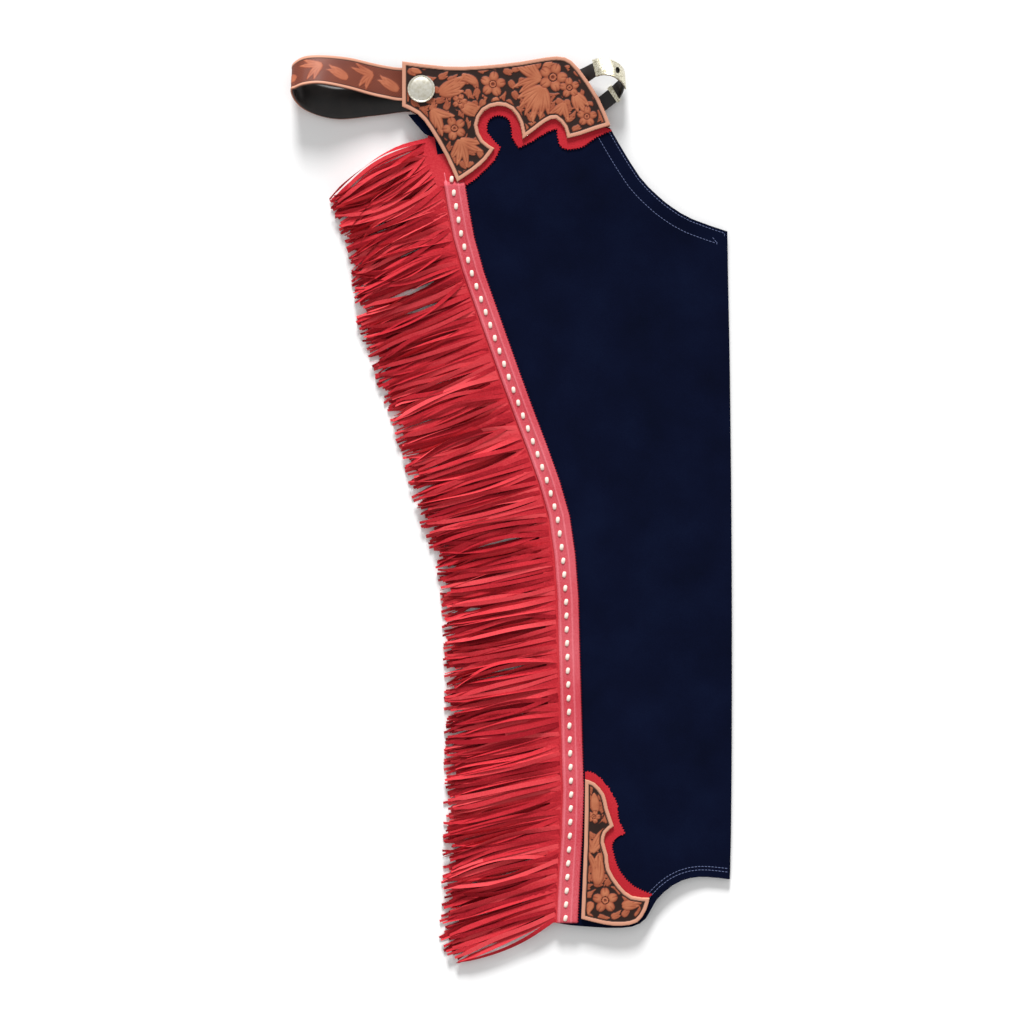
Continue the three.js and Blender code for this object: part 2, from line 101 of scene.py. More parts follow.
# The belt's edges, in millimetres, in order round its loop.
BELT_WIDTH = 38
BELT_PATH = (
    {"x": -92, "far": 510, "near": 472, "z": 16.05}, {"x": -127, "far": 510, "near": 472, "z": 16.05},
    {"x": -145, "far": 512, "near": 474.3, "z": 15.8}, {"x": -163, "far": 515.5, "near": 478, "z": 17},
    {"x": -188, "far": 520.5, "near": 484, "z": 21}, {"x": -217, "far": 522.5, "near": 488.5, "z": 24},
    {"x": -236, "far": 521.5, "near": 487.5, "z": 23}, {"x": -247, "far": 517, "near": 484, "z": 18},
    {"x": -251.5, "far": 512, "near": 481.5, "z": 12}, {"x": -248, "far": 507, "near": 472, "z": 6.5},
    {"x": -238, "far": 500.5, "near": 463, "z": 3.5}, {"x": -218, "far": 493.2, "near": 455.3, "z": 2.3},
    {"x": -195, "far": 490, "near": 452.3, "z": 2.1}, {"x": -163, "far": 493.5, "near": 455.7, "z": 2.6},
    {"x": -145, "far": 495.8, "near": 457.8, "z": 5.4}, {"x": -127, "far": 498, "near": 460, "z": 8.85},
    {"x": -92, "far": 500, "near": 462, "z": 8.85},
)
# How far below level each stretch of strands points, by the height of its root.
STRAND_ANGLES = (
    {"y": 440, "angle": 33}, {"y": 400, "angle": 29}, {"y": 300, "angle": 22}, {"y": 100, "angle": 20},
    {"y": -50, "angle": 12}, {"y": -300, "angle": 12}, {"y": -430, "angle": 16}, {"y": -475, "angle": 22},
)


# ---- Finishes ----
def linear(code):
    """An sRGB hex colour as linear RGB."""
    parts = [int(code[i : i + 2], 16) / 255 for i in (1, 3, 5)]
    return tuple(p / 12.92 if p <= 0.04045 else ((p + 0.055) / 1.055) ** 2.4 for p in parts)


def add_node(tree, kind, inputs=None, stops=(), **settings):
    """Adds a node with its settings, its links and, on a colour ramp, its stops."""
    node = tree.nodes.new(kind)
    for name, value in settings.items():
        setattr(node, name, value)
    for name, value in (inputs or {}).items():
        if isinstance(value, bpy.types.NodeSocket):
            tree.links.new(value, node.inputs[name])
        else:
            node.inputs[name].default_value = value
    if stops:
        elements = node.color_ramp.elements
        elements[0].position = stops[0][0]
        elements[0].color = (*stops[0][1], 1.0)
        elements[1].position = stops[-1][0]
        elements[1].color = (*stops[-1][1], 1.0)
    for position, colour in stops[1:-1]:
        elements.new(position).color = (*colour, 1.0)
    return node


def new_finish(name):
    """An empty material with its tree, its shader and the object's own coordinates."""
    material = bpy.data.materials.new(name)
    material.use_nodes = True
    tree = material.node_tree
    shader = tree.nodes["Principled BSDF"]
    place = add_node(tree, "ShaderNodeTexCoord").outputs["Object"]
    return material, tree, shader, place


def napped_suede(name, dark, mid, light, nap_mm, tone_attribute=False, gloss=0.1):
    """Split hide buffed to a nap: matt, with brushed patches and a fine fibrous grain."""
    material, tree, shader, place = new_finish(name)
    patches = add_node(tree, "ShaderNodeTexNoise", {"Vector": place, "Scale": 1 / (60 * MM), "Detail": 6.0})
    factor = patches.outputs["Fac"]
    if tone_attribute:
        tone = add_node(tree, "ShaderNodeAttribute", attribute_name="tone").outputs["Fac"]
        factor = add_node(
            tree, "ShaderNodeMix", {"Factor": 0.7, "A": factor, "B": tone}, data_type="FLOAT"
        ).outputs["Result"]
    nap = 1 / (nap_mm * MM)
    fibres = add_node(tree, "ShaderNodeTexNoise", {"Vector": place, "Scale": nap, "Detail": 4.0})
    mixed = add_node(
        tree, "ShaderNodeMix", {"Factor": 0.3, "A": factor, "B": fibres.outputs["Fac"]}, data_type="FLOAT"
    ).outputs["Result"]
    colour = add_node(
        tree, "ShaderNodeValToRGB", {"Fac": mixed}, stops=((0.3, dark), (0.5, mid), (0.72, light))
    ).outputs["Color"]
    tree.links.new(colour, shader.inputs["Base Color"])
    bump = add_node(
        tree, "ShaderNodeBump", {"Height": fibres.outputs["Fac"], "Strength": 0.35, "Distance": 0.4 * MM}
    )
    tree.links.new(bump.outputs["Normal"], shader.inputs["Normal"])
    shader.inputs["Roughness"].default_value = 0.95
    shader.inputs["Specular IOR Level"].default_value = gloss
    return material


def carved_leather(name, colours):
    """Vegetable-tanned hide, carved wet and antiqued: dark antique in the cuts, painted shade on the sloping sides
    of the leaves, pale and waxed on top with a painted highlight.
    """
    material, tree, shader, place = new_finish(name)
    carve = add_node(tree, "ShaderNodeAttribute", attribute_name="carve").outputs["Fac"]
    rim = add_node(tree, "ShaderNodeAttribute", attribute_name="rim").outputs["Fac"]
    # Stops by carving height: real antique in the cuts, painted shade on the leaf sides, a painted highlight on the
    # crowns.
    dyes_shade_and_highlight = (
        (0.0, colours.ground), (0.1, colours.cut), (0.32, colours.shade), (0.62, colours.tan), (1.0, colours.crown),
    )
    field = add_node(tree, "ShaderNodeValToRGB", {"Fac": carve}, stops=dyes_shade_and_highlight).outputs["Color"]
    stain = add_node(tree, "ShaderNodeTexNoise", {"Vector": place, "Scale": 1 / (18 * MM), "Detail": 5.0})
    shade = add_node(
        tree, "ShaderNodeValToRGB", {"Fac": stain.outputs["Fac"]}, stops=((0.3, colours.stain), (0.7, WHITE))
    ).outputs["Color"]
    stained = add_node(
        tree, "ShaderNodeMix", {"Factor": 0.6, "A": field, "B": shade},
        data_type="RGBA", blend_type="MULTIPLY",
    )
    colour = add_node(
        tree, "ShaderNodeMix", {"Factor": rim, "A": stained.outputs[2], "B": (*colours.rim, 1.0)},
        data_type="RGBA",
    )
    tree.links.new(colour.outputs[2], shader.inputs["Base Color"])
    grain = add_node(tree, "ShaderNodeTexVoronoi", {"Vector": place, "Scale": 1 / (0.9 * MM)})
    bump = add_node(
        tree, "ShaderNodeBump", {"Height": grain.outputs["Distance"], "Strength": 0.3, "Distance": 0.3 * MM}
    )
    tree.links.new(bump.outputs["Normal"], shader.inputs["Normal"])
    shader.inputs["Roughness"].default_value = 0.55
    shader.inputs["Specular IOR Level"].default_value = 0.25
    shader.inputs["Coat Weight"].default_value = 0.05
    shader.inputs["Coat Roughness"].default_value = 0.4
    return material


def smooth_leather(name, dark, light):
    """Finished black hide: a soft satin sheen over a fine pebble."""
    material, tree, shader, place = new_finish(name)
    wear = add_node(tree, "ShaderNodeTexNoise", {"Vector": place, "Scale": 1 / (12 * MM), "Detail": 5.0})
    colour = add_node(
        tree, "ShaderNodeValToRGB", {"Fac": wear.outputs["Fac"]}, stops=((0.35, dark), (0.75, light))
    ).outputs["Color"]
    tree.links.new(colour, shader.inputs["Base Color"])
    grain = add_node(tree, "ShaderNodeTexVoronoi", {"Vector": place, "Scale": 1 / (1.2 * MM)})
    bump = add_node(
        tree, "ShaderNodeBump", {"Height": grain.outputs["Distance"], "Strength": 0.25, "Distance": 0.2 * MM}
    )
    tree.links.new(bump.outputs["Normal"], shader.inputs["Normal"])
    shader.inputs["Roughness"].default_value = 0.42
    return material


def aged_silver(name, colours):
    """Silver plate, stamped and polished: bright on the high spots, brown-grey in the low ones."""
    material, tree, shader, place = new_finish(name)
    chase = add_node(tree, "ShaderNodeTexVoronoi", {"Vector": place, "Scale": 1 / (1.6 * MM)})
    plate = ((0.1, colours.silver_high), (0.55, colours.silver_mid), (0.9, colours.silver_low))
    tarnish = add_node(tree, "ShaderNodeValToRGB", {"Fac": chase.outputs["Distance"]}, stops=plate).outputs["Color"]
    tree.links.new(tarnish, shader.inputs["Base Color"])
    bump = add_node(
        tree, "ShaderNodeBump", {"Height": chase.outputs["Distance"], "Strength": 0.35, "Distance": 0.3 * MM},
        invert=True,
    )
    tree.links.new(bump.outputs["Normal"], shader.inputs["Normal"])
    shader.inputs["Metallic"].default_value = 1.0
    shader.inputs["Roughness"].default_value = 0.32
    return material


def polished_silver(name, dark, light):
    """Silver plate spun and polished, with faint handling marks."""
    material, tree, shader, place = new_finish(name)
    marks = add_node(tree, "ShaderNodeTexNoise", {"Vector": place, "Scale": 1 / (5 * MM), "Detail": 4.0})
    colour = add_node(
        tree, "ShaderNodeValToRGB", {"Fac": marks.outputs["Fac"]}, stops=((0.3, dark), (0.7, light))
    ).outputs["Color"]
    tree.links.new(colour, shader.inputs["Base Color"])
    shader.inputs["Metallic"].default_value = 1.0
    shader.inputs["Roughness"].default_value = 0.38
    return material


def waxed_thread(name, dyed, twist_shade):
    """Twisted and waxed thread or lace: matt, with painted shade between the strands of its twist as a fine wave.
    """
    material, tree, shader, place = new_finish(name)
    twist = add_node(tree, "ShaderNodeTexNoise", {"Vector": place, "Scale": 1 / (1.5 * MM), "Detail": 3.0})
    # Darker mottling toward the twist colour: painted shade between the strands.
    shade = add_node(
        tree, "ShaderNodeValToRGB", {"Fac": twist.outputs["Fac"]}, stops=((0.2, twist_shade), (0.7, WHITE))
    ).outputs["Color"]
    colour = add_node(
        tree, "ShaderNodeMix", {"Factor": 0.5, "A": (*dyed, 1.0), "B": shade},
        data_type="RGBA", blend_type="MULTIPLY",
    )
    tree.links.new(colour.outputs[2], shader.inputs["Base Color"])
    shader.inputs["Roughness"].default_value = 0.7
    return material


def matt_paper(name, dark, light):
    """Seamless white studio paper: matt, with a tooth too slight to see."""
    material, tree, shader, place = new_finish(name)
    tooth = add_node(tree, "ShaderNodeTexNoise", {"Vector": place, "Scale": 1 / (2 * MM)})
    colour = add_node(
        tree, "ShaderNodeValToRGB", {"Fac": tooth.outputs["Fac"]}, stops=((0.0, dark), (1.0, light))
    ).outputs["Color"]
    tree.links.new(colour, shader.inputs["Base Color"])
    shader.inputs["Roughness"].default_value = 1.0
    shader.inputs["Specular IOR Level"].default_value = 0.0
    return material


FINISHES = {}


def finish_named(name):
    """The named finish, made once."""
    colours = bpy.context.scene.chaps_colours
    navy = (colours.navy_low, colours.navy_mid, colours.navy_high)
    red = (colours.red_low, colours.red_mid, colours.red_high)
    trim = (colours.trim_low, colours.trim_mid, colours.trim_high)
    makers = {
        "navy_suede": lambda: napped_suede("navy_suede", *navy, 1.4, gloss=0.02),
        "red_suede": lambda: napped_suede("red_suede", *red, 1.4, True),
        "trim_suede": lambda: napped_suede("trim_suede", *trim, 1.2, True),
        "tooled_leather": lambda: carved_leather("tooled_leather", colours),
        "black_leather": lambda: smooth_leather("black_leather", colours.black_low, colours.black_high),
        "silver": lambda: aged_silver("silver", colours),
        "polished_silver": lambda: polished_silver("polished_silver", colours.polish_low, colours.polish_high),
        "ivory_lace": lambda: waxed_thread("ivory_lace", colours.lace, colours.twist),
        "blue_thread": lambda: waxed_thread("blue_thread", colours.thread, colours.twist),
        "paper": lambda: matt_paper("matt_paper", colours.paper_low, colours.paper_high),
    }
    if name not in FINISHES:
        FINISHES[name] = makers[name]()
    return FINISHES[name]


# ---- Reading the frame ----
def node_mesh(node):
    """A frame node's mesh as a bmesh with its vertices merged."""
    work = bmesh.new()
    work.from_mesh(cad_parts[node].data)
    bmesh.ops.remove_doubles(work, verts=work.verts, dist=1e-6)
    return work


def node_outline(node, facing):
    """The outline, in metres, of a flat node's face that looks up (1) or down (-1)."""
    work = node_mesh(node)
    work.normal_update()
    after = {}
    for face in work.faces:
        if face.normal.z * facing < 0.6:
            continue
        for loop in face.loops:
            other = loop.link_loop_radial_next.face
            if abs(other.normal.z) < 0.4:
                after[loop.vert.index] = loop.link_loop_next.vert.index
    start = next(iter(after))
    order = [start]
    while after.get(order[-1], start) != start:
        order.append(after[order[-1]])
    work.verts.ensure_lookup_table()
    points = np.array([work.verts[i].co[:2] for i in order])
    work.free()
    return points


def node_tree(node):
    """A tree for finding a node's surface above or below a place."""
    work = node_mesh(node)
    tree = BVHTree.FromBMesh(work)
    work.free()
    return tree


def height_at(tree, x, y, facing):
    """The height of the outermost surface at a place, or of the nearest one."""
    origin = Vector((x, y, facing))
    hit = tree.ray_cast(origin, Vector((0, 0, -facing)))[0]
    if hit is None:
        hit = tree.find_nearest(Vector((x, y, 0.01)))[0]
    return hit.z


# ---- Making pieces ----
def new_piece(name, points, faces, finish, replaced=(), smooth=True):
    """A mesh object that rides on the body and stands for the given nodes."""
    mesh = bpy.data.meshes.new(name)
    mesh.from_pydata([tuple(map(float, p)) for p in points], [], [tuple(map(int, f)) for f in faces])
    mesh.validate()
    work = bmesh.new()
    work.from_mesh(mesh)
    bmesh.ops.recalc_face_normals(work, faces=work.faces)
    work.to_mesh(mesh)
    work.free()
    mesh.polygons.foreach_set("use_smooth", [smooth] * len(mesh.polygons))
    piece = bpy.data.objects.new(name, mesh)
    bpy.context.scene.collection.objects.link(piece)
    mesh.materials.append(finish_named(finish))
    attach(piece, ROOT)
    if replaced:
        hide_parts(*replaced)
    return piece


def set_attribute(piece, name, values):
    """Stores one number for each vertex, for the finish to read."""
    layer = piece.data.attributes.new(name, "FLOAT", "POINT")
    layer.data.foreach_set("value", np.asarray(values, dtype=np.float32))


def closed_grid(columns, rows, offset=0):
    """Faces of a closed sheet of columns by rows points, its back face after its front face."""
    faces = []
    back = columns * rows
    for u in range(columns - 1):
        for v in range(rows - 1):
            a = u * rows + v
            quad = (a, a + 1, a + rows + 1, a + rows)
            faces.append(quad)
            faces.append(tuple(back + i for i in reversed(quad)))
    for u in range(columns - 1):
        for v in (0, rows - 1):
            a = u * rows + v
            faces.append((a, a + rows, back + a + rows, back + a))
    for v in range(rows - 1):
        for u in (0, columns - 1):
            a = u * rows + v
            faces.append((a, a + 1, back + a + 1, back + a))
    return [tuple(offset + i for i in face) for face in faces]


def table_value(table, column, y):
    """A table's column at a height, between its rows."""
    heights = [row["y"] for row in table][::-1]
    return float(np.interp(y, heights, [row[column] for row in table][::-1]))


def distance_to_outline(points, outline):
    """Each point's distance to an outline, the nearest place on it, and whether it is inside."""
    best = np.full(len(points), 1e9)
    near = np.zeros((len(points), 2))
    inside = np.zeros(len(points), dtype=bool)
    for a, b in zip(outline, np.roll(outline, -1, axis=0)):
        span = b - a
        part = np.clip(((points - a) @ span) / max(span @ span, 1e-18), 0, 1)
        place = a + part[:, None] * span
        gap = np.hypot(*(points - place).T)
        closer = gap < best
        best[closer] = gap[closer]
        near[closer] = place[closer]
        crosses = (a[1] > points[:, 1]) != (b[1] > points[:, 1])
        slope = span[0] / span[1] if span[1] else 0
        inside ^= crosses & (points[:, 0] < a[0] + (points[:, 1] - a[1]) * slope)
    return best, near, inside


# ---- Carving ----
def leaf_height(x, y, leaf_x, leaf_y, angle, length, width, bend):
    """A bent leaf with a vein: 0 outside, up to 1 on its crown."""
    turn = math.radians(angle)
    along = ((x - leaf_x) * math.cos(turn) + (y - leaf_y) * math.sin(turn)) / length
    across = -(x - leaf_x) * math.sin(turn) + (y - leaf_y) * math.cos(turn)
    across = across - bend * length * along**2
    inside = (along > 0.02) & (along < 1)
    part = np.clip(along, 0.02, 1)
    half = width / 2 * np.sin(np.pi * part**0.75) ** 0.6 + 1e-6
    side = np.abs(across) / half
    crown = np.sqrt(np.clip(1 - side**2, 0, 1))
    vein = 0.45 * np.exp(-((across / 0.55) ** 2)) * (part < 0.8)
    return np.where(inside & (side < 1), np.clip(0.15 + 0.85 * crown - vein, 0.12, 1), 0)


def flower_height(x, y, flower_x, flower_y, radius, turn):
    """A five-petalled flower with a ringed eye."""
    dx, dy = x - flower_x, y - flower_y
    far = np.hypot(dx, dy)
    height = np.zeros_like(x)
    for petal in range(5):
        angle = math.radians(turn + 72 * petal)
        along = dx * math.cos(angle) + dy * math.sin(angle) - 0.58 * radius
        across = -dx * math.sin(angle) + dy * math.cos(angle)
        reach = (along / (0.42 * radius)) ** 2 + (across / (0.36 * radius)) ** 2
        crown = np.where(reach < 1, 0.2 + 0.8 * np.sqrt(np.clip(1 - reach, 0, 1)), 0)
        crown -= 0.4 * np.exp(-((across / 0.6) ** 2)) * (along > 0) * (reach < 1)
        height = np.maximum(height, crown)
    eye = np.where(far < 0.24 * radius, 0.95, 0)
    eye = np.where(far < 0.12 * radius, 0.35, eye)
    ring = (far > 0.24 * radius) & (far < 0.31 * radius)
    return np.where(ring, 0.12, np.maximum(height, eye))


def filling_fans(x, y, pitch):
    """Small sprays of leaves that fill the ground between the main motifs, turning like scrolls."""
    rng = np.random.default_rng(5)
    fans = []
    rows = np.arange(y.min(), y.max() + pitch, pitch * 0.87)
    for row, fan_y in enumerate(rows):
        for fan_x in np.arange(x.min() + pitch / 2 * (row % 2), x.max() + pitch, pitch):
            swirl = 60 * math.sin(fan_x / 17) + 70 * math.cos(fan_y / 14)
            fans.append({
                "x": fan_x + rng.uniform(-2, 2), "y": fan_y + rng.uniform(-2, 2), "angle": swirl, "spread": 75,
                "count": 3, "length": 0.95 * pitch, "width": 0.42 * pitch, "bend": 0.35,
            })
    return fans


def carving(x, y, flowers, fans):
    """The height of the carved field, from 0 on its matted ground to 1."""
    height = np.zeros_like(x)
    for fan in fans:
        count = fan["count"]
        for i in range(count):
            part = (i + 0.5) / count - 0.5
            length = fan["length"] * (1 - 0.45 * abs(part) * 2 * 0.6)
            leaf = leaf_height(
                x, y, fan["x"], fan["y"], fan["angle"] + fan["spread"] * part, length, fan["width"],
                fan["bend"] * (1 if part <= 0 else -1) + 0.1 * part,
            )
            height = np.where(leaf > height, leaf, height)
    for flower in flowers:
        near = np.hypot(x - flower["x"], y - flower["y"]) < flower["radius"]
        bloom = flower_height(x, y, flower["x"], flower["y"], flower["radius"], flower["turn"])
        height = np.where(near & (bloom > 0), bloom, height)
    return height


def halo(x, y, flowers):
    """1 except in the cut-back ground close round each flower, where it falls to 0."""
    clear = np.ones_like(x)
    for flower in flowers:
        far = np.hypot(x - flower["x"], y - flower["y"]) - flower["radius"]
        clear = np.minimum(clear, np.clip((far - 1.0) / 0.8, 0, 1))
    return clear


def carved_plate(name, node, facing, cell, flowers, fans):
    """A carved plate over its node: fine squares inside its outline, with a raised rim."""
    sizes = bpy.context.scene.chaps_sizes
    outline = node_outline(node, facing)
    if facing < 0:
        outline = outline[::-1]
    low = outline.min(axis=0) - 2 * cell
    high = outline.max(axis=0) + 2 * cell
    xs = np.arange(low[0], high[0], cell)
    ys = np.arange(low[1], high[1], cell)
    grid = np.stack(np.meshgrid(xs, ys, indexing="ij"), axis=-1).reshape(-1, 2)
    distance, near, inside = distance_to_outline(grid, outline)
    kept = inside | (distance < 0.72 * cell)
    snapped = kept & (~inside | (distance < 0.3 * cell))
    grid[snapped] = near[snapped]
    distance[snapped] = 0
    rows = len(ys)
    numbers = -np.ones(len(grid), dtype=int)
    starts = (np.arange(len(xs) - 1)[:, None] * rows + np.arange(rows - 1)).ravel()
    quads = np.stack([starts, starts + rows, starts + rows + 1, starts + 1], axis=1)
    quads = quads[kept[quads].all(axis=1)]
    used = np.unique(quads)
    numbers[used] = np.arange(len(used))
    quads = numbers[quads]
    places = grid[used]
    depth = distance[used]
    rim = np.clip((sizes.rim_width - depth) / (0.5 * MM), 0, 1)
    field_x = places[:, 0] / MM
    field_y = places[:, 1] / MM
    ground = 0.8 * carving(field_x, field_y, (), filling_fans(field_x, field_y, 13.5))
    carved = carving(field_x, field_y, flowers, fans)
    carved = np.where(carved > 0, carved, ground * halo(field_x, field_y, flowers))
    field = np.clip((depth - sizes.rim_width - 1.0 * MM) / (0.8 * MM), 0, 1)
    carved = carved * field
    height = np.maximum(carved, rim * (0.75 + 0.25 * np.clip(depth / MM, 0, 1)))
    tree = node_tree(node)
    drawn_in = places * 0.9995 + places.mean(axis=0) * 0.0005
    skin = np.array([height_at(tree, px, py, facing) for px, py in drawn_in])
    thickness = sizes.yoke_thickness
    top = skin - facing * sizes.carve_depth * (1 - height)
    bottom = skin - facing * (thickness - 0.02 * MM)
    count = len(places)
    points = np.vstack([np.column_stack([places, top]), np.column_stack([places, bottom])])
    edges = {}
    for quad in quads:
        for a, b in zip(quad, np.roll(quad, -1)):
            edges[(a, b)] = True
    walls = [(a, b, count + b, count + a) for a, b in edges if (b, a) not in edges]
    faces = [tuple(q) for q in quads] + [tuple(count + q[::-1]) for q in quads] + walls
    piece = new_piece(name, points, faces, "tooled_leather", (node,))
    # The finish colours by this carving height: antique in the cuts, painted shade on the leaf sides, a painted
    # highlight on the crowns.
    set_attribute(piece, "carve", np.concatenate([carved, np.full(count, 0.6)]))
    set_attribute(piece, "rim", np.concatenate([rim, np.zeros(count)]))
    return piece


# ---- Stitches, teeth and strips ----
def offset_path(points, distance):
    """A path moved sideways, to its left for a positive distance."""
    points = np.asarray(points, dtype=float)
    ahead = np.gradient(points, axis=0)
    ahead /= np.hypot(*ahead.T)[:, None] + 1e-12
    return points + distance * np.column_stack([-ahead[:, 1], ahead[:, 0]])


def spaced(points, pitch):
    """Places at an even pitch along a path, with the heading at each."""
    points = np.asarray(points, dtype=float)
    steps = np.hypot(*np.diff(points, axis=0).T)
    run = np.concatenate([[0], np.cumsum(steps)])
    marks = np.arange(pitch / 2, run[-1], pitch)
    places = np.column_stack([np.interp(marks, run, points[:, i]) for i in (0, 1)])
    ahead = np.column_stack([np.interp(marks + 0.4 * pitch, run, points[:, i]) for i in (0, 1)]) - places
    return places, np.arctan2(ahead[:, 1], ahead[:, 0])


def bead_rows(places, headings, tree, facing, length, width, rise, points, faces, sections=6):
    """Adds a rounded bead at each place, lying on a surface."""
    rings = (-0.5, -0.36, 0, 0.36, 0.5)
    scale = (0.45, 0.85, 1, 0.85, 0.45)
    for (x, y), heading in zip(places, headings):
        base = height_at(tree, x, y, facing)
        along = np.array([math.cos(heading), math.sin(heading)])
        side = np.array([-along[1], along[0]])
        start = len(points)
        for ring, size in zip(rings, scale):
            for i in range(sections):
                turn = math.pi * i / (sections - 1)
                flat = np.array([x, y]) + along * ring * length + side * math.cos(turn) * width / 2 * size
                lift = math.sin(turn) * rise * size
                points.append((flat[0], flat[1], base + facing * (lift - 0.05 * MM)))
        for r in range(len(rings) - 1):
            for i in range(sections - 1):
                a = start + r * sections + i
                faces.append((a, a + 1, a + sections + 1, a + sections))
            a = start + r * sections
            faces.append((a, a + sections, a + 2 * sections - 1, a + sections - 1))
        faces.append(tuple(range(start, start + sections)))
        faces.append(tuple(range(start + 4 * sections, start + 5 * sections)))


def pinked_teeth(path, low_at, high_at, pitch, depth, points, faces):
    """Adds the small saw teeth of a pinked edge on the left of a path."""
    places, headings = spaced(path, pitch)
    for (x, y), heading in zip(places, headings):
        along = np.array([math.cos(heading), math.sin(heading)])
        out = np.array([along[1], -along[0]])
        corners = [
            np.array([x, y]) - along * pitch / 2 - out * 0.3 * MM,
            np.array([x, y]) + along * pitch / 2 - out * 0.3 * MM,
            np.array([x, y]) + out * depth,
        ]
        start = len(points)
        for height in (low_at(x, y), high_at(x, y)):
            points.extend((c[0], c[1], height) for c in corners)
        faces.extend([
            (start, start + 2, start + 1), (start + 3, start + 4, start + 5),
            (start, start + 1, start + 4, start + 3), (start + 1, start + 2, start + 5, start + 4),
            (start + 2, start, start + 3, start + 5),
        ])


def seam_path(pitch):
    """The side seam's centre, from the yoke to the hem, from the trim's own node."""
    outline = node_outline("fringe_trim_upper", 1)
    heights = np.arange(outline[:, 1].min() + MM, outline[:, 1].max(), pitch)[::-1]
    rights = []
    for y in heights:
        crossings = []
        for a, b in zip(outline, np.roll(outline, -1, axis=0)):
            if (a[1] - y) * (b[1] - y) <= 0 and a[1] != b[1]:
                crossings.append(a[0] + (y - a[1]) / (b[1] - a[1]) * (b[0] - a[0]))
        rights.append(max(crossings))
    rights = np.array(rights)
    width = bpy.context.scene.chaps_sizes.trim_right
    kept = heights < 0.372
    seam = np.column_stack([rights - width, heights])[kept]
    step = seam[0] - seam[8]
    return np.vstack([seam[0] + step * part / 8 for part in range(10, 0, -1)] + [seam])


def underlay(name, node, facing, cover):
    """A red underlay with a pinked edge where it shows past the plate on it."""
    sizes = bpy.context.scene.chaps_sizes
    work = node_mesh(node)
    points = [tuple(v.co) for v in work.verts]
    faces = [tuple(v.index for v in f.verts) for f in work.faces]
    work.free()
    outline = node_outline(node, facing)
    if facing < 0:
        outline = outline[::-1]
    ring = np.vstack([outline, outline[:1]])
    _, _, covered = distance_to_outline(ring, node_outline(cover, facing))
    tree = node_tree(node)
    run = []
    runs = []
    for place, hidden in zip(ring, covered):
        if hidden:
            if len(run) > 1:
                runs.append(run)
            run = []
        else:
            run.append(place)
    if len(run) > 1:
        runs.append(run)
    for run in runs:
        pinked_teeth(
            run, lambda x, y: height_at(tree, x, y, 1) - 1.35 * MM,
            lambda x, y: height_at(tree, x, y, 1) - 0.05 * MM,
            sizes.pink_pitch, sizes.pink_depth, points, faces,
        )
    piece = new_piece(name, points, faces, "red_suede", (node,), smooth=False)
    set_attribute(piece, "tone", np.full(len(points), 0.42))
    return piece


# ---- Settings ----
def length(name, description, millimetres):
    """A size setting, given in millimetres."""
    return FloatProperty(name=name, description=description, default=millimetres * MM, unit="LENGTH")


def colour(name, description, code):
    """A colour setting, given as an sRGB hex code."""
    return FloatVectorProperty(name=name, description=description, default=linear(code), subtype="COLOR")


class ChapsColours(bpy.types.PropertyGroup):
    """The colours that a maker would change."""

    navy_low: colour("Navy, shaded", "Shaded nap of the legs", "#080C1D")
    navy_mid: colour("Navy", "Nap of the legs", "#0A0F24")
    navy_high: colour("Navy, brushed", "Brushed nap of the legs", "#0D142B")
    red_low: colour("Red, shaded", "Shaded nap of fringe and underlays", "#8A141F")
    red_mid: colour("Red", "Nap of fringe and underlays", "#BC2A34")
    red_high: colour("Red, brushed", "Brushed nap of fringe and underlays", "#DA4A50")
    trim_low: colour("Trim, shaded", "Shaded nap of the laced trim", "#8A1A26")
    trim_mid: colour("Trim", "Nap of the laced trim", "#BC3743")
    trim_high: colour("Trim, brushed", "Brushed nap of the laced trim", "#E07680")
    ground: colour("Ground", "Antiqued ground of the carving", "#28130C")
    cut: colour("Cut", "Antique left in the cuts", "#3A1C13")
    # Shade and crown follow carving height: painted shade on the leaf sides, a painted highlight on the waxed
    # crowns.
    shade: colour("Shade", "Sides of the carved leaves", "#743623")
    tan: colour("Tan", "Body of the carved leaves", "#A0563A")
    crown: colour("Crown", "Waxed crowns of the leaves", "#BE7552")
    stain: colour("Stain", "Uneven stain of the hide", "#C89A86")
    rim: colour("Rim", "Plain rim round the carving", "#C98F76")
    black_low: colour("Black", "Strap and belt lining", "#0B0706")
    black_high: colour("Black, worn", "Worn black hide", "#1E1512")
    silver_high: colour("Silver", "High spots of the plate", "#F1EDDD")
    silver_mid: colour("Silver, dull", "Body of the plate", "#DAD4BC")
    silver_low: colour("Tarnish", "Low spots of the plate", "#8E8568")
    polish_low: colour("Concho, marked", "Handling marks", "#D8D2BE")
    polish_high: colour("Concho", "Polished dome", "#F4F1E6")
    lace: colour("Lace", "Ivory lacing", "#FBE9DC")
    thread: colour("Thread", "Stitching of the legs", "#5A6790")
    twist: colour("Twist", "Shade between the strands", "#C9B8B0")
    paper_low: colour("Paper, shaded", "Tooth of the floor", "#F6F6F6")
    paper_high: colour("Paper", "Floor", "#F8F8F8")


